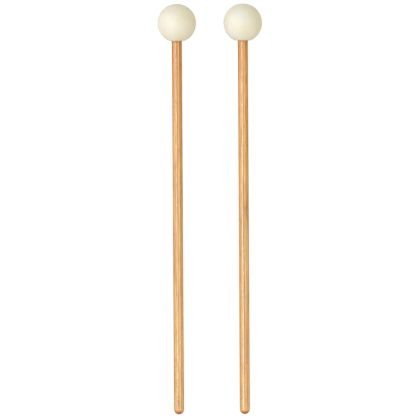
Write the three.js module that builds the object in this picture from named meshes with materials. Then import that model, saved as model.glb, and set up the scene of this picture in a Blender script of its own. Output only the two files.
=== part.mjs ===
// A pair of percussion mallets: on each, a moulded rubber ball is glued on the end of a straight,
// lacquered wooden handle with a domed butt. The pair lies side by side on a flat surface, as it is
// put down between uses, so each mallet rests on its ball and on the low edge of its butt.
//
// Units are millimetres and +Z is up. The origin is on the surface, under the centre of the pair's
// footprint. The handles run along Y with their heads at +Y, and the left mallet is at -X.
//
// Each mallet is turned about its own axis, which is local Y in its group, with local Y = 0 at the
// centre of its ball. Every outline is therefore a list of (radius, height along that axis) points.

import * as THREE from "three";

// ---- Driving dimensions ----------------------------------------------------------------------

const OVERALL_LENGTH = 380; // from the crown of the ball to the tip of the butt
const MALLET_SPACING = 61; // between the axes of the two mallets
const HEAD_DIAMETER = 35.6;
const MOUTH_FLAT_WIDTH = 1.75; // of the flat ring around the socket's mouth
const MOUTH_CHAMFER = 0.25; // of the socket's edge
const MOUTH_EDGE_ROUND = 0.7; // where the ball's curve meets the flat ring
const HANDLE_DIAMETER = 9.3;
const HANDLE_INSERT = 23; // length of handle inside the ball
const HANDLE_END_CHAMFER = 0.8; // of the end inside the ball
const BUTT_DOME_LENGTH = 5.0;
const BUTT_TIP_DIAMETER = 2.4; // of the small flat left at the tip of the dome
const GLUE_THICKNESS = 0.3; // around the handle
const GLUE_END_THICKNESS = 0.8; // beyond the end of the handle
const GLUE_BEAD_WIDTH = 0.8; // squeezed out, from the handle onto the flat ring
const GLUE_BEAD_HEIGHT = 0.6; // squeezed out, from the flat ring along the handle
const PIECE_GAP = 0.1; // between the glue and what it joins

// ---- Fineness of the turned surfaces ---------------------------------------------------------

const SIDES = 40; // around the axis
const BALL_STEPS = 20; // from the crown to the mouth
const DOME_STEPS = 6;
const SMALL_ROUND_STEPS = 3;

// ---- Sizes that follow from the driving dimensions -------------------------------------------

const headRadius = HEAD_DIAMETER / 2;
const handleRadius = HANDLE_DIAMETER / 2;
const buttTipRadius = BUTT_TIP_DIAMETER / 2;
const glueInnerRadius = handleRadius + PIECE_GAP;
const glueOuterRadius = glueInnerRadius + GLUE_THICKNESS;
const socketRadius = glueOuterRadius + PIECE_GAP;
const mouthFlatRadius = socketRadius + MOUTH_CHAMFER + MOUTH_FLAT_WIDTH;

// Heights along the mallet's axis, from the centre of the ball.
const mouthFaceHeight = -heightOnCircle(headRadius, mouthFlatRadius);
const handleEndHeight = mouthFaceHeight + HANDLE_INSERT;
const glueEndHeight = handleEndHeight + PIECE_GAP + GLUE_END_THICKNESS;
const socketEndHeight = glueEndHeight + PIECE_GAP;
const buttTipHeight = headRadius - OVERALL_LENGTH;
const buttTipAngle = Math.acos(buttTipRadius / handleRadius);
const domeBaseHeight = buttTipHeight + BUTT_DOME_LENGTH * Math.sin(buttTipAngle);

// A flat facet faces down, so a mallet rests on the middles of facets and not on an edge.
const facetShare = Math.cos(Math.PI / SIDES);
const restingHeight = headRadius * facetShare;
const slope = Math.asin(((headRadius - handleRadius) * facetShare) / -domeBaseHeight);

// ---- Outline helpers -------------------------------------------------------------------------

// How far from the centre a circle is cut by a line that is offset from the centre.
function heightOnCircle(radius, offset) {
  return Math.sqrt(radius ** 2 - offset ** 2);
}

function point(radius, height) {
  return new THREE.Vector2(radius, height);
}

// Points along an arc of a circle or an ellipse, both ends included. Angles are in radians, from
// the outward direction towards the head end.
function arc(centre, radii, fromAngle, toAngle, steps) {
  const points = [];
  for (let i = 0; i <= steps; i++) {
    const angle = fromAngle + ((toAngle - fromAngle) * i) / steps;
    points.push(point(centre.x + radii.x * Math.cos(angle), centre.y + radii.y * Math.sin(angle)));
  }
  return points;
}

// A solid of revolution about local Y. The outline runs from the axis to the axis, butt end first.
function turned(name, outline, material) {
  const geometry = new THREE.LatheGeometry(outline, SIDES, Math.PI / SIDES);
  const mesh = new THREE.Mesh(geometry, material);
  mesh.name = name;
  return mesh;
}

// ---- Materials -------------------------------------------------------------------------------

const rubber = new THREE.MeshStandardMaterial({ color: 0xede6c9, roughness: 0.6, metalness: 0 });
const wood = new THREE.MeshStandardMaterial({ color: 0xd9a66c, roughness: 0.35, metalness: 0 });
const glue = new THREE.MeshStandardMaterial({ color: 0xcfa75f, roughness: 0.3, metalness: 0 });

// ---- Sub-parts -------------------------------------------------------------------------------

// The ball: a sphere with a flat ring where the handle goes in, and a blind socket for the handle.
function head(name) {
  const centre = point(0, 0);
  const radii = point(headRadius, headRadius);
  const mouthAngle = Math.asin(mouthFaceHeight / headRadius);
  const roundAngle = MOUTH_EDGE_ROUND / headRadius;
  const outline = [
    point(0, socketEndHeight),
    point(socketRadius, socketEndHeight),
    point(socketRadius, mouthFaceHeight + MOUTH_CHAMFER),
    point(socketRadius + MOUTH_CHAMFER, mouthFaceHeight),
    point(mouthFlatRadius - MOUTH_EDGE_ROUND / 2, mouthFaceHeight),
    ...arc(centre, radii, mouthAngle + roundAngle, Math.PI / 2, BALL_STEPS),
  ];
  outline[outline.length - 1].x = 0;
  return turned(name, outline, rubber);
}

// The handle: a straight dowel with a domed butt and a chamfered end inside the ball.
function handle(name) {
  const domeCentre = point(0, domeBaseHeight);
  const domeRadii = point(handleRadius, BUTT_DOME_LENGTH);
  const outline = [
    point(0, buttTipHeight),
    ...arc(domeCentre, domeRadii, -buttTipAngle, 0, DOME_STEPS),
    point(handleRadius, handleEndHeight - HANDLE_END_CHAMFER),
    point(handleRadius - HANDLE_END_CHAMFER, handleEndHeight),
    point(0, handleEndHeight),
  ];
  return turned(name, outline, wood);
}

// The glue: a thin cup between the handle and the socket, with the bead that it squeezes out at the
// mouth. The bead's free surface is hollow, as a liquid's edge is in a corner.
function glueBond(name) {
  const beadTopHeight = mouthFaceHeight - PIECE_GAP;
  const beadCentre = point(glueInnerRadius + GLUE_BEAD_WIDTH, beadTopHeight - GLUE_BEAD_HEIGHT);
  const beadRadii = point(GLUE_BEAD_WIDTH, GLUE_BEAD_HEIGHT);
  const chamferedRadius = glueInnerRadius - HANDLE_END_CHAMFER;
  const outline = [
    point(0, handleEndHeight + PIECE_GAP),
    point(chamferedRadius, handleEndHeight + PIECE_GAP),
    point(glueInnerRadius, handleEndHeight + PIECE_GAP - HANDLE_END_CHAMFER),
    ...arc(beadCentre, beadRadii, Math.PI, Math.PI / 2, SMALL_ROUND_STEPS),
    point(glueOuterRadius, beadTopHeight),
    point(glueOuterRadius, glueEndHeight),
    point(0, glueEndHeight),
  ];
  return turned(name, outline, glue);
}

// One mallet, resting on a surface at Z = 0 with the centre of its ball over local X = Y = 0.
function mallet(side, x) {
  const group = new THREE.Group();
  group.add(head(side + "_head"), handle(side + "_handle"), glueBond(side + "_glue_bond"));
  group.rotation.x = slope;
  group.position.set(x, 0, restingHeight);
  return group;
}

// ---- Assembly --------------------------------------------------------------------------------

const pair = new THREE.Group();
pair.add(mallet("left", -MALLET_SPACING / 2), mallet("right", MALLET_SPACING / 2));

// The footprint is centred on the origin, and its lowest facets are put exactly on the surface.
const box = new THREE.Box3().setFromObject(pair, true);
for (const one of pair.children) {
  one.position.y -= (box.min.y + box.max.y) / 2;
  one.position.z -= box.min.z;
}

export default pair;
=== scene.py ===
"""A pair of ball-headed percussion mallets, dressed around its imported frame.

Each mallet is a straight beech handle, lacquered and domed at the butt, glued into a moulded ball
of ivory rubber. The two lie side by side on a pale surface, resting on ball and butt, between long
soft lights that run beside them. Every piece is turned upright about its own axis, with the centre
of the ball at the origin, and is then laid down where the frame has it.
"""

import logging
import math
from collections.abc import Callable, Iterator
from contextlib import contextmanager
from dataclasses import dataclass
from enum import Enum
from typing import Any

import bmesh
import bpy
from mathutils import Matrix, Vector


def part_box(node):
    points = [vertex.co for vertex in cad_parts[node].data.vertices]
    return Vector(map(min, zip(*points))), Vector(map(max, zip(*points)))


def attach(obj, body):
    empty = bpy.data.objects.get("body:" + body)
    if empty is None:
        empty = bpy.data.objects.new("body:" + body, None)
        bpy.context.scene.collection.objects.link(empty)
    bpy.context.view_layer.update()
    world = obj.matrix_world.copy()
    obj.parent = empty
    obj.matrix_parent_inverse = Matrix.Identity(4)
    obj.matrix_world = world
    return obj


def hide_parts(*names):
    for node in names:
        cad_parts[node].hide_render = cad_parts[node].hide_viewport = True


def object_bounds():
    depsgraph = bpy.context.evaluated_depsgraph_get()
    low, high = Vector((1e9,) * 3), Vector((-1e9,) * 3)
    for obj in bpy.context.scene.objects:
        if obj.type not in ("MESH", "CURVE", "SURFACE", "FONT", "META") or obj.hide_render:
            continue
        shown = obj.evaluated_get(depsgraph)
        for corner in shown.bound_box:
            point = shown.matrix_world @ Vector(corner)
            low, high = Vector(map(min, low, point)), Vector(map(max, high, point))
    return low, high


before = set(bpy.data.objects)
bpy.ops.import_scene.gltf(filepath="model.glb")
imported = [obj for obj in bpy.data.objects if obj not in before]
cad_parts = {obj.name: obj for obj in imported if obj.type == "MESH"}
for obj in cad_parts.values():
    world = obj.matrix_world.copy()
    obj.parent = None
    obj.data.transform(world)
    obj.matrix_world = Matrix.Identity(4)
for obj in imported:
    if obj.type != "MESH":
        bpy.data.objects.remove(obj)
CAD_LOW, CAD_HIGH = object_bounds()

LOG = logging.getLogger("mallets")
MM = 0.001
CLOSE = 0.002 * MM  # two places nearer than this are the same place
DOUBLE = CLOSE / 4  # two corners nearer than this are merged


class Side(Enum):
    """Which mallet of the pair a piece belongs to."""

    LEFT = "left"
    RIGHT = "right"


class Part(Enum):
    """What a piece is, as in its CAD node's name."""

    HEAD = "head"
    HANDLE = "handle"
    GLUE_BOND = "glue_bond"


class Slot(Enum):
    """The record's material slots."""

    RUBBER = "head_rubber"
    WOOD = "handle_wood"
    GLUE = "glue"


ROLLS = {Side.LEFT: 20.0, Side.RIGHT: -65.0}  # degrees that each has rolled about its own axis


# ---- Working at the bench: selecting, drawing out and finishing a mesh -----------------------


@dataclass(frozen=True)
class Ring:
    """One ring of a turned outline: its radius, and its height on the mallet's axis, in metres."""

    radius: float
    height: float


@contextmanager
def editing(piece: bpy.types.Object) -> Iterator[None]:
    """Opens a piece, and only that piece, in edit mode with nothing selected in it.

    Args:
        piece: The mesh object to work on.
    """
    bpy.ops.object.select_all(action="DESELECT")
    bpy.context.view_layer.objects.active = piece
    piece.select_set(True)
    bpy.ops.object.mode_set(mode="EDIT")
    bpy.ops.mesh.select_mode(type="EDGE")
    bpy.ops.mesh.select_all(action="DESELECT")
    yield
    bpy.ops.object.mode_set(mode="OBJECT")


def added(name: str) -> bpy.types.Object:
    """Names the primitive that was just added.

    Args:
        name: The piece's name.

    Returns:
        The new object.
    """
    piece = bpy.context.active_object
    piece.name = name
    piece.data.name = name
    return piece


def pick_faces(piece: bpy.types.Object, wanted: Callable[[Vector], bool]) -> None:
    """Selects only the faces whose centre is wanted.

    Args:
        piece: The object in edit mode.
        wanted: Says whether a face with its centre at that point is selected.
    """
    bpy.ops.mesh.select_all(action="DESELECT")
    bpy.ops.mesh.select_mode(type="FACE")
    mesh = bmesh.from_edit_mesh(piece.data)
    for face in mesh.faces:
        face.select_set(wanted(face.calc_center_median()))
    bmesh.update_edit_mesh(piece.data)


def pick_edges(piece: bpy.types.Object, wanted: Callable[[Vector, Vector], bool]) -> None:
    """Selects only the edges whose two ends are wanted.

    Args:
        piece: The object in edit mode.
        wanted: Says whether an edge between those two points is selected.
    """
    bpy.ops.mesh.select_all(action="DESELECT")
    bpy.ops.mesh.select_mode(type="EDGE")
    mesh = bmesh.from_edit_mesh(piece.data)
    for edge in mesh.edges:
        edge.select_set(wanted(edge.verts[0].co, edge.verts[1].co))
    bmesh.update_edit_mesh(piece.data)


def at_height(height: float) -> Callable[[Vector, Vector], bool]:
    """A test for edges that lie level at one height.

    Args:
        height: The height on the piece's axis, in metres.

    Returns:
        The test, for pick_edges.
    """
    return lambda a, b: abs(a.z - height) < CLOSE and abs(b.z - height) < CLOSE


def selected_radius(piece: bpy.types.Object) -> float:
    """How far out the selection reaches from the piece's axis, in metres.

    Args:
        piece: The object in edit mode.

    Returns:
        The largest radius of a selected vertex.
    """
    mesh = bmesh.from_edit_mesh(piece.data)
    return max(vertex.co.xy.length for vertex in mesh.verts if vertex.select)


def draw_out(piece: bpy.types.Object, start_height: float, rings: list[Ring]) -> None:
    """Extrudes the selected ring or end face through more rings, one after another.

    Args:
        piece: The object in edit mode, with a level ring or face selected.
        start_height: The height of what is selected.
        rings: Where each new ring goes.
    """
    height = start_height
    for ring in rings:
        share = ring.radius / selected_radius(piece)
        bpy.ops.mesh.extrude_region_move(
            TRANSFORM_OT_translate={"value": (0.0, 0.0, ring.height - height)}
        )
        bpy.ops.transform.resize(
            value=(share, share, 1.0), center_override=(0.0, 0.0, ring.height)
        )
        height = ring.height


def arc(centre: Ring, radii: Ring, start: float, end: float, steps: int) -> list[Ring]:
    """Rings along an arc of an ellipse, the first of its ends left out.

    Args:
        centre: The ellipse's centre, as a radius and a height.
        radii: Its half width and half height.
        start: The angle where the arc starts, in degrees from outwards towards the head.
        end: The angle where it ends.
        steps: How many rings to make.

    Returns:
        The rings, in order.
    """
    angles = [math.radians(start + (end - start) * i / steps) for i in range(1, steps + 1)]
    return [
        Ring(
            centre.radius + radii.radius * math.cos(angle),
            centre.height + radii.height * math.sin(angle),
        )
        for angle in angles
    ]


def finish_mesh(piece: bpy.types.Object, sharp_above: float) -> None:
    """Merges doubles, turns the faces outwards and smooths all but the sharp edges.

    Args:
        piece: The piece.
        sharp_above: The angle in degrees past which an edge stays sharp.
    """
    with editing(piece):
        bpy.ops.mesh.select_all(action="SELECT")
        bpy.ops.mesh.remove_doubles(threshold=DOUBLE)
        bpy.ops.mesh.normals_make_consistent(inside=False)
    bpy.ops.object.shade_smooth_by_angle(angle=math.radians(sharp_above))


def copied(piece: bpy.types.Object, name: str) -> bpy.types.Object:
    """A copy of a piece with its own mesh.

    Args:
        piece: The piece to copy.
        name: The copy's name.

    Returns:
        The copy.
    """
    bpy.ops.object.select_all(action="DESELECT")
    bpy.context.view_layer.objects.active = piece
    piece.select_set(True)
    bpy.ops.object.duplicate(linked=False)
    return added(name)


# ---- Materials -------------------------------------------------------------------------------

# A colour Mix node repeats its sockets' names for each kind of data, so they go by number.
SHARE, UNDER, OVER, MIXED = 0, 6, 7, 2


def linear(hex_colour: str) -> tuple[float, float, float, float]:
    """Turns an sRGB hex value to the linear colour that a shader reads, by sRGB's own curve.

    Args:
        hex_colour: Six hex digits after a hash.

    Returns:
        Red, green, blue and an alpha of 1.
    """
    shares = [int(hex_colour[i : i + 2], 16) / 255 for i in (1, 3, 5)]
    flat = [s / 12.92 if s <= 0.04045 else ((s + 0.055) / 1.055) ** 2.4 for s in shares]
    return (flat[0], flat[1], flat[2], 1.0)


def new_material(name: str) -> bpy.types.Material:
    """An empty node material.

    Args:
        name: The material's name.

    Returns:
        The material, with no nodes.
    """
    material = bpy.data.materials.new(name)
    material.use_nodes = True
    material.node_tree.nodes.clear()
    return material


def add_node(
    owner: bpy.types.Material | bpy.types.World,
    kind: str,
    inputs: dict[int | str, Any] | None = None,
    stops: dict[float, str] | None = None,
    **settings: Any,
) -> bpy.types.Node:
    """Adds one node with its settings, and fills or links its inputs.

    Args:
        owner: The material or world that the node goes in.
        kind: The node's type, without the word ShaderNode in front.
        inputs: What goes in each input, by its name or number: another node's output to link,
            an sRGB hex colour, or a plain value.
        stops: A colour ramp's hex colours, each by its place from 0 to 1.
        **settings: The node's own properties.

    Returns:
        The node.
    """
    tree = owner.node_tree
    node = tree.nodes.new("ShaderNode" + kind)
    for key, value in settings.items():
        setattr(node, key, value)
    for key, value in (inputs or {}).items():
        if isinstance(value, bpy.types.NodeSocket):
            tree.links.new(value, node.inputs[key])
        else:
            node.inputs[key].default_value = linear(value) if isinstance(value, str) else value
    for number, (place, colour) in enumerate((stops or {}).items()):
        elements = node.color_ramp.elements
        stop = elements[number] if number < len(elements) else elements.new(place)
        stop.position = place
        stop.color = linear(colour)
    return node


@dataclass(frozen=True)
class Grain:
    """One layer of a finish's pattern, made of grains of a real size."""

    size: tuple[float, float, float]  # of a grain along X, Y and Z, in metres
    rise: tuple[float, float] = (0.3, 0.7)  # noise values where it starts to show and is full
    strength: float = 1.0  # how much it shows where it is full
    detail: float = 2.0  # how many finer layers it has
    offset: float = 0.0  # moves the layer, so that two of them don't agree

    def spread(
        self, material: bpy.types.Material, place: bpy.types.NodeSocket
    ) -> bpy.types.NodeSocket:
        """Lays the layer over a material.

        Args:
            material: The material.
            place: The position that the layer reads, in metres.

        Returns:
            How much the layer shows, from 0 to its strength.
        """
        scaled = add_node(
            material,
            "VectorMath",
            {0: place, 1: tuple(1 / side for side in self.size), 2: (self.offset,) * 3},
            operation="MULTIPLY_ADD",
        )
        noise = add_node(
            material,
            "TexNoise",
            {"Vector": scaled.outputs["Vector"], "Scale": 1.0, "Detail": self.detail},
        )
        start, full = self.rise
        shown = add_node(
            material,
            "MapRange",
            {
                "Value": noise.outputs["Fac"],
                "From Min": start,
                "From Max": full,
                "To Max": self.strength,
            },
            interpolation_type="SMOOTHSTEP",
        )
        return shown.outputs["Result"]


@dataclass(frozen=True)
class MouldedRubber:
    """Ivory natural rubber, pressed in a fine-blasted steel mould.

    It looks matt and slightly soft: light goes a little way in, so the shaded side stays warm, and
    the blasted mould leaves a skin of tiny pits that breaks up any reflection. The compound is not
    quite even, which gives faint, cloudy patches of a yellower cream.
    """

    cream: str = "#F2EDE5"
    deep_cream: str = "#F1E9D9"
    speck_tint: str = "#F9F6F0"
    clouds: Grain = Grain((12 * MM,) * 3, rise=(0.32, 0.68))
    specks: Grain = Grain((0.7 * MM,) * 3, offset=7.0)
    pits: Grain = Grain((0.35 * MM,) * 3, detail=3.0)  # drawn coarse: real ones are 0.1 mm
    pit_depth: float = 0.02 * MM
    swells: Grain = Grain((3.5 * MM,) * 3, detail=1.0, offset=3.0)
    swell_depth: float = 0.03 * MM
    relief: float = 0.5
    matt: tuple[float, float] = (0.46, 0.58)  # roughness between the specks and on them
    index: float = 1.52
    glow: float = 0.12  # share of the light that goes in
    glow_depth: float = 1.4 * MM
    glow_reach: tuple[float, float, float] = (1.0, 0.75, 0.45)  # red goes the deepest

    def build(self) -> bpy.types.Material:
        """Makes the material.

        Returns:
            The material.
        """
        material = new_material("moulded_ivory_rubber")
        place = add_node(material, "TexCoord").outputs["Object"]
        specks = self.specks.spread(material, place)
        colour = add_node(
            material,
            "Mix",
            {SHARE: self.clouds.spread(material, place), UNDER: self.cream, OVER: self.deep_cream},
            data_type="RGBA",
        ).outputs[MIXED]
        colour = add_node(
            material,
            "Mix",
            {SHARE: specks, UNDER: colour, OVER: self.speck_tint},
            data_type="RGBA",
            blend_type="MULTIPLY",
        ).outputs[MIXED]
        smooth, rough = self.matt
        matt = add_node(
            material, "MapRange", {"Value": specks, "To Min": smooth, "To Max": rough}
        )
        normal = None
        for layer, depth in ((self.swells, self.swell_depth), (self.pits, self.pit_depth)):
            height = layer.spread(material, place)
            bump = {"Height": height, "Distance": depth, "Strength": self.relief}
            if normal is not None:
                bump["Normal"] = normal
            normal = add_node(material, "Bump", bump).outputs["Normal"]
        shader = add_node(
            material,
            "BsdfPrincipled",
            {
                "Base Color": colour,
                "Roughness": matt.outputs["Result"],
                "IOR": self.index,
                "Normal": normal,
                "Subsurface Weight": self.glow,
                "Subsurface Radius": self.glow_reach,
                "Subsurface Scale": self.glow_depth,
            },
        )
        add_node(material, "OutputMaterial", {"Surface": shader.outputs["BSDF"]})
        return material


@dataclass(frozen=True)
class LacqueredBeech:
    """Steamed beech dowel, sanded round and dipped in a clear satin lacquer.

    It looks warm tan, with straight, low-contrast growth rings that run the length of the handle,
    thin darker fibres between them and the short, slim flecks that beech has. The lacquer lies
    over it as a smooth skin that catches long, soft streaks of light. The upper half of the handle
    is tinted darker and warmer, most of all at the ball. At the butt a pale ring is painted in as a
    highlight, and beyond it the end grain goes from amber to red-brown, darkened partly by its own
    colour and partly by painted shade.
    """

    start: Vector  # the centre of the ball, halfway between the mallets
    slope: float  # how far the handle's head end is raised, in radians
    mouth: float  # where the handle leaves the ball, along the axis from the ball's centre
    dome: float  # where the butt's dome starts
    tip: float
    early_wood: str = "#E9B76E"
    late_wood: str = "#D59551"
    fibre: str = "#9A5C2C"
    fleck: str = "#8A4E26"
    # Multiplied over the grain: the handle gets darker and warmer towards the ball.
    ball_end_tint_ramp: tuple[tuple[float, str], ...] = (
        (0.0, "#FFFFFF"),
        (0.72, "#FFF3ED"),
        (1.0, "#FBE7D0"),
    )
    ball_end_tint_reach: float = 190 * MM  # down the handle from the ball
    ring_width: float = 2.3 * MM
    late_share: tuple[float, float] = (0.55, 0.92)  # of a ring, where late wood starts and ends
    pith: tuple[float, float, float] = (9 * MM, 0.0, -46 * MM)
    wander: float = 3.2 * MM  # of the rings, from the straight
    bends: Grain = Grain((12 * MM, 140 * MM, 12 * MM), rise=(0.0, 1.0), detail=1.0, offset=2.0)
    streaks: Grain = Grain(
        (0.8 * MM, 45 * MM, 0.8 * MM), rise=(0.54, 0.68), strength=0.66, detail=1.0, offset=5.0
    )
    # Bundles of fibres: single ones are too fine to show.
    fibres: Grain = Grain(
        (0.4 * MM, 16 * MM, 0.4 * MM), rise=(0.48, 0.68), strength=0.56, detail=3.0
    )
    # Drawn coarse: a real pore is 0.06 mm wide.
    pores: Grain = Grain(
        (0.22 * MM, 4 * MM, 0.22 * MM), rise=(0.6, 0.72), strength=0.3, offset=11.0
    )
    # Where on the handle the flecks show.
    flecked: Grain = Grain(
        (5 * MM, 26 * MM, 5 * MM), rise=(0.42, 0.56), strength=0.6, detail=1.0, offset=4.0
    )
    fleck_size: tuple[float, float, float] = (0.8 * MM, 5.5 * MM, 0.8 * MM)  # with its margin
    fleck_edge: tuple[float, float] = (0.1, 0.22)  # where it fades, in shares of that size
    # The butt's painted highlight and shade: the pale first stops are a painted highlight ring where
    # the dome starts, and the red-brown towards the tip is end grain deepened by painted shade.
    butt_glint_grain_and_shade: tuple[tuple[float, str], ...] = (
        (0.0, "#E0B67C"),
        (0.22, "#E0B67C"),
        (0.36, "#E2A25A"),
        (0.48, "#DE8C44"),
        (0.64, "#BC6430"),
        (1.0, "#9C4E2C"),
    )
    butt_glint_lead: float = 0.9 * MM  # of the painted highlight ring, up the handle from the dome
    butt_share: float = 0.75  # how much these colours cover the grain
    pore_depth: float = 0.012 * MM
    relief: float = 0.35
    satin: tuple[float, float] = (0.36, 0.46)  # roughness between the fibres and on them
    index: float = 1.5
    shine: float = 0.25  # of the wood under its lacquer
    lacquer_waves: Grain = Grain(
        (3 * MM, 45 * MM, 3 * MM), rise=(0.2, 0.8), detail=1.0, offset=8.0
    )
    lacquer_depth: float = 0.02 * MM
    lacquer_rough: float = 0.17
    lacquer_index: float = 1.75  # above the usual 1.5, for the strength of its streaks

    def build(self) -> bpy.types.Material:
        """Makes the material.

        Returns:
            The material.
        """
        material = new_material("lacquered_beech")
        seen = add_node(material, "TexCoord").outputs["Object"]
        along = add_node(
            material,
            "Mapping",
            {"Vector": seen, "Location": self.start, "Rotation": (self.slope, 0.0, 0.0)},
            vector_type="TEXTURE",
        ).outputs["Vector"]
        length = add_node(material, "SeparateXYZ", {"Vector": along}).outputs["Y"]
        fibres = self.fibres.spread(material, along)
        pores = self.pores.spread(material, along)
        near_ball = add_node(
            material,
            "MapRange",
            {"Value": length, "From Min": self.mouth - self.ball_end_tint_reach, "From Max": self.mouth},
        ).outputs["Result"]
        amber = add_node(
            material, "ValToRGB", {"Fac": near_ball}, dict(self.ball_end_tint_ramp)
        ).outputs["Color"]
        end_colour, end_share = self._butt(material, length)
        colour = self._rings(material, along)
        for share, over, blend in (
            (self.streaks.spread(material, along), self.fibre, "MIX"),
            (fibres, self.fibre, "MIX"),
            (pores, self.fibre, "MIX"),
            (self._flecks(material, along), self.fleck, "MIX"),
            (1.0, amber, "MULTIPLY"),
            # the butt's painted highlight ring, and its end grain with painted shade
            (end_share, end_colour, "MIX"),
        ):
            colour = add_node(
                material,
                "Mix",
                {SHARE: share, UNDER: colour, OVER: over},
                data_type="RGBA",
                blend_type=blend,
            ).outputs[MIXED]
        smooth, rough = self.satin
        satin = add_node(
            material, "MapRange", {"Value": fibres, "To Min": smooth, "To Max": rough}
        )
        grain = add_node(
            material,
            "Bump",
            {"Height": pores, "Distance": -self.pore_depth, "Strength": self.relief},
        )
        waves = self.lacquer_waves.spread(material, along)
        skin = add_node(
            material,
            "Bump",
            {"Height": waves, "Distance": self.lacquer_depth, "Strength": self.relief},
        )
        shader = add_node(
            material,
            "BsdfPrincipled",
            {
                "Base Color": colour,
                "Roughness": satin.outputs["Result"],
                "IOR": self.index,
                "Specular IOR Level": self.shine,
                "Normal": grain.outputs["Normal"],
                "Coat Weight": 1.0,
                "Coat Roughness": self.lacquer_rough,
                "Coat IOR": self.lacquer_index,
                "Coat Normal": skin.outputs["Normal"],
            },
        )
        add_node(material, "OutputMaterial", {"Surface": shader.outputs["BSDF"]})
        return material

    def _rings(
        self, material: bpy.types.Material, along: bpy.types.NodeSocket
    ) -> bpy.types.NodeSocket:
        """The colour of the growth rings, which lie around a pith that the dowel was sawn clear of.

        Args:
            material: The material that the rings go in.
            along: The position along the handle.

        Returns:
            The colour.
        """
        from_pith = add_node(
            material, "VectorMath", {0: along, 1: self.pith}, operation="SUBTRACT"
        ).outputs["Vector"]
        level = add_node(
            material, "VectorMath", {0: from_pith, 1: (1.0, 0.0, 1.0)}, operation="MULTIPLY"
        ).outputs["Vector"]
        radius = add_node(material, "VectorMath", {0: level}, operation="LENGTH").outputs["Value"]
        bends = self.bends.spread(material, along)
        bent = add_node(
            material, "Math", {0: bends, 1: self.wander, 2: radius}, operation="MULTIPLY_ADD"
        ).outputs["Value"]
        ring = add_node(
            material, "Math", {0: bent, 1: self.ring_width}, operation="DIVIDE"
        ).outputs["Value"]
        share = add_node(material, "Math", {0: ring}, operation="FRACT").outputs["Value"]
        late_start, late_end = self.late_share
        stops = {late_start: self.early_wood, late_end: self.late_wood, 1.0: self.early_wood}
        return add_node(material, "ValToRGB", {"Fac": share}, stops).outputs["Color"]

    def _flecks(
        self, material: bpy.types.Material, along: bpy.types.NodeSocket
    ) -> bpy.types.NodeSocket:
        """How much of a ray fleck's colour a point has.

        Args:
            material: The material that the flecks go in.
            along: The position along the handle.

        Returns:
            The share, from 0 to 1.
        """
        scaled = add_node(
            material,
            "VectorMath",
            {0: along, 1: tuple(1 / side for side in self.fleck_size)},
            operation="MULTIPLY",
        ).outputs["Vector"]
        near = add_node(
            material, "TexVoronoi", {"Vector": scaled, "Scale": 1.0}, feature="F1"
        ).outputs["Distance"]
        core, edge = self.fleck_edge
        flecks = add_node(
            material,
            "MapRange",
            {"Value": near, "From Min": edge, "From Max": core},
            interpolation_type="SMOOTHSTEP",
        ).outputs["Result"]
        flecked = self.flecked.spread(material, along)
        return add_node(
            material, "Math", {0: flecks, 1: flecked}, operation="MULTIPLY"
        ).outputs["Value"]

    def _butt(
        self, material: bpy.types.Material, length: bpy.types.NodeSocket
    ) -> tuple[bpy.types.NodeSocket, bpy.types.NodeSocket]:
        """The colours of the butt: a painted highlight ring, then end grain with painted shade to its
        tip.

        Args:
            material: The material that they go in.
            length: The place along the handle.

        Returns:
            The colour, and how much of it a point has.
        """
        lead = self.dome + self.butt_glint_lead
        place = add_node(
            material, "MapRange", {"Value": length, "From Min": lead, "From Max": self.tip}
        )
        colour = add_node(
            material, "ValToRGB", {"Fac": place.outputs["Result"]}, dict(self.butt_glint_grain_and_shade)
        )
        share = add_node(
            material,
            "MapRange",
            {
                "Value": length,
                "From Min": lead,
                "From Max": self.dome,
                "To Max": self.butt_share,
            },
            interpolation_type="SMOOTHSTEP",
        )
        return colour.outputs["Color"], share.outputs["Result"]


@dataclass(frozen=True)
class CuredGlue:
    """Clear amber contact adhesive, squeezed out and set in a thin, glossy bead.

    It looks like a line of dark honey around the handle, a little uneven in thickness.
    """

    thin: str = "#D8B06C"
    thick: str = "#B98A45"
    blobs: Grain = Grain((1.6 * MM,) * 3, rise=(0.35, 0.65))
    blob_height: float = 0.08 * MM
    relief: float = 0.4
    gloss: tuple[float, float] = (0.12, 0.28)  # roughness where it is thin and where it is thick
    index: float = 1.5
    glow: float = 0.3
    glow_depth: float = 0.5 * MM

    def build(self) -> bpy.types.Material:
        """Makes the material.

        Returns:
            The material.
        """
        material = new_material("cured_amber_glue")
        place = add_node(material, "TexCoord").outputs["Object"]
        blobs = self.blobs.spread(material, place)
        colour = add_node(
            material, "Mix", {SHARE: blobs, UNDER: self.thin, OVER: self.thick}, data_type="RGBA"
        )
        smooth, rough = self.gloss
        gloss = add_node(
            material, "MapRange", {"Value": blobs, "To Min": smooth, "To Max": rough}
        )
        bump = add_node(
            material,
            "Bump",
            {"Height": blobs, "Distance": self.blob_height, "Strength": self.relief},
        )
        shader = add_node(
            material,
            "BsdfPrincipled",
            {
                "Base Color": colour.outputs[MIXED],
                "Roughness": gloss.outputs["Result"],
                "IOR": self.index,
                "Normal": bump.outputs["Normal"],
                "Subsurface Weight": self.glow,
                "Subsurface Scale": self.glow_depth,
            },
        )
        add_node(material, "OutputMaterial", {"Surface": shader.outputs["BSDF"]})
        return material


# ---- The mallet's pieces ---------------------------------------------------------------------


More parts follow.
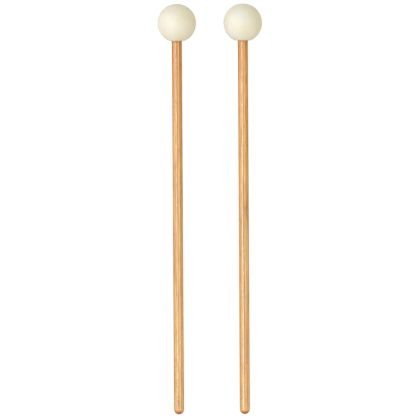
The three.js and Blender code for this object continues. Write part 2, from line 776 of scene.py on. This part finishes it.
@dataclass(frozen=True)
class MalletSizes:
    """The sizes that the pieces share, in metres. Heights run from the ball's centre."""

    length: float = 380 * MM
    head_radius: float = 17.8 * MM
    handle_radius: float = 4.65 * MM
    mouth_radius: float = 7.15 * MM  # of the flat ring where the handle goes in
    mouth_chamfer: float = 0.25 * MM
    socket_radius: float = 5.15 * MM
    insert: float = 23 * MM
    insert_chamfer: float = 0.8 * MM
    dome_length: float = 5.0 * MM
    tip_radius: float = 1.2 * MM
    glue_gap: float = 0.1 * MM
    glue_thickness: float = 0.3 * MM
    glue_end: float = 0.8 * MM

    @property
    def mouth(self) -> float:
        """Height of the flat ring."""
        return -math.sqrt(self.head_radius**2 - self.mouth_radius**2)

    @property
    def handle_end(self) -> float:
        """Height of the handle's end inside the ball."""
        return self.mouth + self.insert

    @property
    def tip(self) -> float:
        """Height of the butt's tip."""
        return self.head_radius - self.length

    @property
    def tip_angle(self) -> float:
        """How far round its quarter ellipse the butt's dome goes, in degrees."""
        return math.degrees(math.acos(self.tip_radius / self.handle_radius))

    @property
    def dome(self) -> float:
        """Height where the butt's dome starts."""
        return self.tip + self.dome_length * math.sin(math.radians(self.tip_angle))

    @property
    def slope(self) -> float:
        """How far the axis rises towards the head when the mallet lies down, in radians."""
        return math.asin((self.head_radius - self.handle_radius) / -self.dome)


@dataclass
class RubberHead:
    """The ball, with its socket, its mould's parting line and the mark of its feed."""

    sizes: MalletSizes
    segments: int = 144
    rings: int = 96
    mouth_round: float = 0.16 * MM
    mouth_round_steps: int = 3
    parting_half_width: float = 0.22 * MM
    parting_height: float = 0.05 * MM
    parting_steps: int = 2
    feed_radius: float = 1.3 * MM
    feed_step: float = 0.12 * MM
    sharp_above: float = 32.0  # degrees

    def model(self, name: str) -> bpy.types.Object:
        """Models the ball about its own axis.

        Args:
            name: The piece's name.

        Returns:
            The ball.
        """
        bpy.ops.mesh.primitive_uv_sphere_add(
            segments=self.segments, ring_count=self.rings, radius=self.sizes.head_radius
        )
        piece = added(name)
        with editing(piece):
            self._cut_mouth(piece)
            self._sink_socket(piece)
            self._raise_parting_line(piece)
            self._mark_feed(piece)
        finish_mesh(piece, self.sharp_above)
        return piece

    def _cut_mouth(self, piece: bpy.types.Object) -> None:
        """Cuts the ball off flat at the mouth, and rounds the edge.

        Args:
            piece: The ball, in edit mode.
        """
        bpy.ops.mesh.select_all(action="SELECT")
        bpy.ops.mesh.bisect(
            plane_co=(0.0, 0.0, self.sizes.mouth),
            plane_no=(0.0, 0.0, 1.0),
            use_fill=True,
            clear_inner=True,
            threshold=CLOSE,
        )
        pick_edges(piece, at_height(self.sizes.mouth))
        bpy.ops.mesh.bevel(
            offset=self.mouth_round, segments=self.mouth_round_steps, affect="EDGES"
        )

    def _sink_socket(self, piece: bpy.types.Object) -> None:
        """Sinks the handle's socket, with a chamfer, into the flat.

        Args:
            piece: The ball, in edit mode.
        """
        sizes = self.sizes
        end = sizes.handle_end + 2 * sizes.glue_gap + sizes.glue_end
        pick_faces(piece, lambda centre: abs(centre.z - sizes.mouth) < CLOSE)
        draw_out(
            piece,
            sizes.mouth,
            [
                Ring(sizes.socket_radius + sizes.mouth_chamfer, sizes.mouth),
                Ring(sizes.socket_radius, sizes.mouth + sizes.mouth_chamfer),
                Ring(sizes.socket_radius, end),
            ],
        )

    def _raise_parting_line(self, piece: bpy.types.Object) -> None:
        """Raises the hair-thin line where the two halves of the mould met.

        Args:
            piece: The ball, in edit mode.
        """
        pick_edges(piece, at_height(0.0))
        bpy.ops.mesh.bevel(
            offset=self.parting_half_width, segments=self.parting_steps, affect="EDGES"
        )
        pick_edges(piece, at_height(0.0))
        share = 1 + self.parting_height / self.sizes.head_radius
        bpy.ops.transform.resize(value=(share, share, 1.0), center_override=(0.0, 0.0, 0.0))

    def _mark_feed(self, piece: bpy.types.Object) -> None:
        """Presses the small round mark of the rubber's feed into the crown."""
        pick_faces(piece, lambda centre: centre.z > 0 and centre.xy.length < self.feed_radius)
        bpy.ops.mesh.inset(thickness=self.feed_step, depth=-self.feed_step)


@dataclass
class BeechHandle:
    """The handle: a dowel with a domed butt, sanded by hand and never quite true."""

    sizes: MalletSizes
    segments: int = 96
    cuts: int = 84
    dome_steps: int = 14
    shoulder: float = 0.07 * MM  # step of lacquer left where the butt was turned
    shoulder_width: float = 0.35 * MM
    sanding_depth: float = 0.06 * MM
    sanding_grain: float = 6 * MM
    sanding_stretch: float = 12.0  # along the handle
    sharp_above: float = 30.0  # degrees

    def model(self, name: str) -> bpy.types.Object:
        """Models the handle about its own axis.

        Args:
            name: The piece's name.

        Returns:
            The handle.
        """
        sizes = self.sizes
        top = sizes.handle_end - sizes.insert_chamfer
        bottom = sizes.dome + self.shoulder_width
        bpy.ops.mesh.primitive_cylinder_add(
            vertices=self.segments,
            radius=sizes.handle_radius,
            depth=top - bottom,
            location=(0.0, 0.0, (top + bottom) / 2),
        )
        piece = added(name)
        bpy.ops.object.transform_apply(location=True, rotation=False, scale=False)
        with editing(piece):
            pick_edges(piece, lambda a, b: abs(a.z - b.z) > (top - bottom) / 2)
            bpy.ops.mesh.subdivide(number_cuts=self.cuts)
            self._chamfer_insert(piece, top)
            self._turn_butt(piece, bottom)
        self._sand(piece)
        finish_mesh(piece, self.sharp_above)
        return piece

    def _chamfer_insert(self, piece: bpy.types.Object, top: float) -> None:
        """Draws the end that goes in the ball out to its chamfer.

        Args:
            piece: The handle, in edit mode.
            top: The height of its end face.
        """
        sizes = self.sizes
        pick_faces(piece, lambda centre: abs(centre.z - top) < CLOSE)
        radius = sizes.handle_radius - sizes.insert_chamfer
        draw_out(piece, top, [Ring(radius, sizes.handle_end)])

    def _turn_butt(self, piece: bpy.types.Object, bottom: float) -> None:
        """Draws the butt out to its shoulder and its dome, and leaves a small flat at the tip.

        Args:
            piece: The handle, in edit mode.
            bottom: The height of its end face.
        """
        sizes = self.sizes
        pick_faces(piece, lambda centre: abs(centre.z - bottom) < CLOSE)
        shoulder = [
            Ring(sizes.handle_radius + self.shoulder / 2, bottom - self.shoulder_width / 2),
            Ring(sizes.handle_radius - self.shoulder / 2, sizes.dome),
        ]
        dome = arc(
            Ring(0.0, sizes.dome),
            Ring(sizes.handle_radius, sizes.dome_length),
            0.0,
            -sizes.tip_angle,
            self.dome_steps,
        )
        draw_out(piece, bottom, shoulder + dome)

    def _sand(self, piece: bpy.types.Object) -> None:
        """Gives the surface the long, shallow unevenness that hand sanding leaves.

        Args:
            piece: The handle.
        """
        clouds = bpy.data.textures.new("sanding", "CLOUDS")
        clouds.noise_scale = self.sanding_grain
        bpy.ops.object.empty_add()
        stretch = bpy.context.active_object
        stretch.scale = (1.0, 1.0, self.sanding_stretch)
        bpy.context.view_layer.update()
        displace = piece.modifiers.new("sanding", "DISPLACE")
        displace.texture = clouds
        displace.texture_coords = "OBJECT"
        displace.texture_coords_object = stretch
        displace.strength = self.sanding_depth
        bpy.context.view_layer.objects.active = piece
        bpy.ops.object.modifier_apply(modifier=displace.name)
        bpy.data.objects.remove(stretch)


@dataclass
class GlueBond:
    """The glue: a thin cup in the socket, and the bead that was squeezed out at its mouth."""

    sizes: MalletSizes
    segments: int = 96
    bead_width: float = 0.8 * MM
    bead_height: float = 0.6 * MM
    bead_steps: int = 6
    sharp_above: float = 40.0  # degrees

    def model(self, name: str) -> bpy.types.Object:
        """Models the cup and its bead about their own axis.

        Args:
            name: The piece's name.

        Returns:
            The glue.
        """
        sizes = self.sizes
        inner = sizes.handle_radius + sizes.glue_gap
        outer = inner + sizes.glue_thickness
        floor = sizes.handle_end + sizes.glue_gap
        top = sizes.mouth - sizes.glue_gap
        end = floor + sizes.glue_end
        narrow = inner - sizes.insert_chamfer
        bpy.ops.mesh.primitive_circle_add(vertices=self.segments, radius=narrow)
        piece = added(name)
        with editing(piece):
            bpy.ops.mesh.select_all(action="SELECT")
            bpy.ops.transform.translate(value=(0.0, 0.0, floor))
            bead = arc(
                Ring(inner + self.bead_width, top - self.bead_height),
                Ring(self.bead_width, self.bead_height),
                180.0,
                90.0,
                self.bead_steps,
            )
            draw_out(
                piece,
                floor,
                [
                    Ring(inner, floor - sizes.insert_chamfer),
                    Ring(inner, top - self.bead_height),
                    *bead,
                    Ring(outer, top),
                    Ring(outer, end),
                ],
            )
            bpy.ops.mesh.edge_face_add()
            pick_edges(piece, at_height(floor))
            bpy.ops.mesh.edge_face_add()
        finish_mesh(piece, self.sharp_above)
        return piece


@dataclass
class Mallet:
    """One mallet, laid down on its ball and its butt."""

    side: Side
    sizes: MalletSizes
    roll: float  # how far it has rolled about its own axis, in radians

    @property
    def place(self) -> Matrix:
        """Where the upright mallet goes.

        Returns:
            The matrix that rolls it, lays it down and moves it to its ball's centre.
        """
        low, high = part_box(f"{self.side.value}_{Part.HEAD.value}")
        radius = self.sizes.head_radius
        centre = Vector(((low.x + high.x) / 2, CAD_HIGH.y - radius, CAD_LOW.z + radius))
        laid = Matrix.Rotation(self.sizes.slope - math.pi / 2, 4, "X")
        return Matrix.Translation(centre) @ laid @ Matrix.Rotation(self.roll, 4, "Z")

    def take(
        self,
        pattern: bpy.types.Object,
        part: Part,
        slot: Slot,
        material: bpy.types.Material,
    ) -> None:
        """Takes a copy of an upright piece, lays it in place and dresses it.

        Args:
            pattern: The upright piece.
            part: What the piece is.
            slot: Not used.
            material: Its material.
        """
        node = f"{self.side.value}_{part.value}"
        piece = copied(pattern, node + "_finished")
        piece.matrix_world = self.place
        bpy.ops.object.transform_apply(location=True, rotation=True, scale=True)
        piece.data.materials.clear()
        piece.data.materials.append(material)
        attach(piece, self.side.value + "_mallet")
        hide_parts(node)
        LOG.info("%s: %d faces", piece.name, len(piece.data.polygons))


# ---- The studio ------------------------------------------------------------------------------


@dataclass(frozen=True)
class SoftLight:
    """A flat, soft light that runs along beside the mallets and faces them."""

    name: str
    lean: float  # degrees from straight overhead, positive to the right
    along: float  # its middle, towards the heads from the target
    width: float
    glow: float  # brightness of its face, where a lit white surface is 1
    colour: str
    length: float = 2.4
    distance: float = 1.0
    glints_only: bool = False  # whether it shows in glossy surfaces and lights no matt ones

    def build(self, target: Vector) -> None:
        """Makes the light.

        Args:
            target: The point that it faces.
        """
        lamp = bpy.data.lights.new(self.name, "AREA")
        lamp.shape = "RECTANGLE"
        lamp.size = self.width
        lamp.size_y = self.length
        lamp.energy = self.glow * math.pi * self.width * self.length
        lamp.color = linear(self.colour)[:3]
        light = bpy.data.objects.new(self.name, lamp)
        bpy.context.scene.collection.objects.link(light)
        turned = Matrix.Rotation(math.radians(self.lean), 4, "Y")
        back = Matrix.Translation((0.0, self.along, self.distance))
        light.matrix_world = Matrix.Translation(target) @ turned @ back
        light.visible_camera = False
        light.visible_diffuse = not self.glints_only


@dataclass
class Studio:
    """The pale surface, the soft lights, the room around them and the camera.

    The long softboxes on both sides light the round pieces. The strips and the card beside them
    light nothing matt: they only draw the pale streaks in the lacquer.
    """

    target: Vector
    white: str = "#FFFFFF"
    floor_radius: float = 9.0
    floor_sides: int = 128
    floor_drop: float = 0.04 * MM  # below the frame's lowest point, for the fine meshes' lowest
    floor_colour: str = "#EDEDED"
    floor_glow: float = 1.12
    floor_lift: float = 0.8  # how much of the glow the camera sees over the shadows
    room_tint: str = "#FFFFD6"
    room_glow: float = 0.52
    gleam_tint: str = "#FFD2A0"  # what glossy surfaces reflect of the room
    room_gleam: float = 0.36
    lens: float = 400.0
    sensor: float = 36.0
    seen_width: float = 388.9 * MM
    camera_turn: float = math.radians(-0.33)
    camera_shift: tuple[float, float] = (-0.75 * MM, -0.7 * MM)
    camera_reach: float = 4.0  # how far it sees, in distances to the target
    lights: tuple[SoftLight, ...] = (
        SoftLight("key_softbox", lean=-27.0, along=0.34, width=0.3, glow=2.42, colour="#D0DAFF"),
        SoftLight("side_softbox", lean=-62.0, along=0.05, width=0.7, glow=1.3, colour="#E4E9FF"),
        SoftLight("right_softbox", lean=27.0, along=0.3, width=0.4, glow=0.7, colour="#FFF8E6"),
        SoftLight(
            "fill_softbox",
            lean=28.0,
            along=-0.58,
            width=0.78,
            glow=0.74,
            colour="#FFF8E6",
            length=1.1,
        ),
        SoftLight(
            "key_strip",
            lean=-25.0,
            along=0.3,
            width=0.24,
            glow=4.9,
            colour="#E0FFEE",
            glints_only=True,
        ),
        SoftLight(
            "right_strip",
            lean=33.0,
            along=0.3,
            width=0.4,
            glow=1.4,
            colour="#FFFFFF",
            glints_only=True,
        ),
        SoftLight(
            "right_card",
            lean=90.0,
            along=-0.3,
            width=0.5,
            glow=0.75,
            colour="#FFFFFF",
            length=0.54,
            distance=0.5,
            glints_only=True,
        ),
    )

    def build(self) -> None:
        """Sets the whole studio up."""
        self._lay_floor()
        self._fill_room()
        self._set_camera()
        for light in self.lights:
            light.build(self.target)
        bpy.context.scene.view_settings.view_transform = "Standard"

    def _lay_floor(self) -> None:
        """Lays a wide, matt, white surface that shows only soft, light shadows."""
        bpy.ops.object.select_all(action="DESELECT")
        bpy.ops.mesh.primitive_circle_add(
            vertices=self.floor_sides,
            radius=self.floor_radius,
            fill_type="NGON",
            location=(0.0, 0.0, CAD_LOW.z - self.floor_drop),
        )
        floor = added("studio_floor")
        material = new_material("matt_white_surface")
        matt = add_node(material, "BsdfDiffuse", {"Color": self.floor_colour, "Roughness": 1.0})
        lit = add_node(material, "Emission", {"Color": self.white, "Strength": self.floor_glow})
        seen = add_node(material, "LightPath").outputs["Is Camera Ray"]
        lift = add_node(material, "Math", {0: seen, 1: self.floor_lift}, operation="MULTIPLY")
        surface = add_node(
            material,
            "MixShader",
            {0: lift.outputs["Value"], 1: matt.outputs["BSDF"], 2: lit.outputs["Emission"]},
        )
        add_node(material, "OutputMaterial", {"Surface": surface.outputs["Shader"]})
        floor.data.materials.append(material)
        floor.visible_glossy = False

    def _fill_room(self) -> None:
        """Fills the room with a faint glow: warm in reflections, and a pale wall to the camera."""
        world = bpy.data.worlds.new("pale_room")
        world.use_nodes = True
        world.node_tree.nodes.clear()
        glow = add_node(world, "Background", {"Color": self.room_tint, "Strength": self.room_glow})
        gleam = add_node(
            world, "Background", {"Color": self.gleam_tint, "Strength": self.room_gleam}
        )
        wall = add_node(world, "Background", {"Color": self.white})
        path = add_node(world, "LightPath").outputs
        lit = add_node(
            world,
            "MixShader",
            {0: path["Is Glossy Ray"], 1: glow.outputs["Background"], 2: gleam.outputs["Background"]},
        )
        room = add_node(
            world,
            "MixShader",
            {0: path["Is Camera Ray"], 1: lit.outputs["Shader"], 2: wall.outputs["Background"]},
        )
        add_node(world, "OutputWorld", {"Surface": room.outputs["Shader"]})
        bpy.context.scene.world = world

    def _set_camera(self) -> None:
        """Hangs the camera straight above the pair."""
        data = bpy.data.cameras.new("overhead_camera")
        data.lens = self.lens
        data.sensor_width = self.sensor
        distance = self.lens / self.sensor * self.seen_width
        data.clip_end = self.camera_reach * distance
        camera = bpy.data.objects.new("overhead_camera", data)
        bpy.context.scene.collection.objects.link(camera)
        camera.location = self.target + Vector((*self.camera_shift, distance))
        camera.rotation_euler = (0.0, 0.0, self.camera_turn)
        bpy.context.scene.camera = camera


def main() -> None:
    """Builds the studio and the two mallets."""
    logging.basicConfig(level=logging.INFO, format="%(name)s: %(message)s")
    sizes = MalletSizes()
    mallets = [Mallet(side, sizes, math.radians(roll)) for side, roll in ROLLS.items()]
    ball_centre = mallets[0].place.translation
    Studio(target=Vector((0.0, 0.0, CAD_LOW.z + sizes.head_radius / 2))).build()

    rubber = MouldedRubber().build()
    beech = LacqueredBeech(
        start=Vector((0.0, ball_centre.y, ball_centre.z)),
        slope=sizes.slope,
        mouth=sizes.mouth,
        dome=sizes.dome,
        tip=sizes.tip,
    ).build()
    glue = CuredGlue().build()
    parts = (
        (RubberHead(sizes), Part.HEAD, Slot.RUBBER, rubber),
        (BeechHandle(sizes), Part.HANDLE, Slot.WOOD, beech),
        (GlueBond(sizes), Part.GLUE_BOND, Slot.GLUE, glue),
    )
    for maker, part, slot, material in parts:
        bpy.ops.object.select_all(action="DESELECT")
        pattern = maker.model(part.value + "_pattern")
        for mallet in mallets:
            mallet.take(pattern, part, slot, material)
        bpy.data.objects.remove(pattern)


if __name__ == "__main__":
    main()
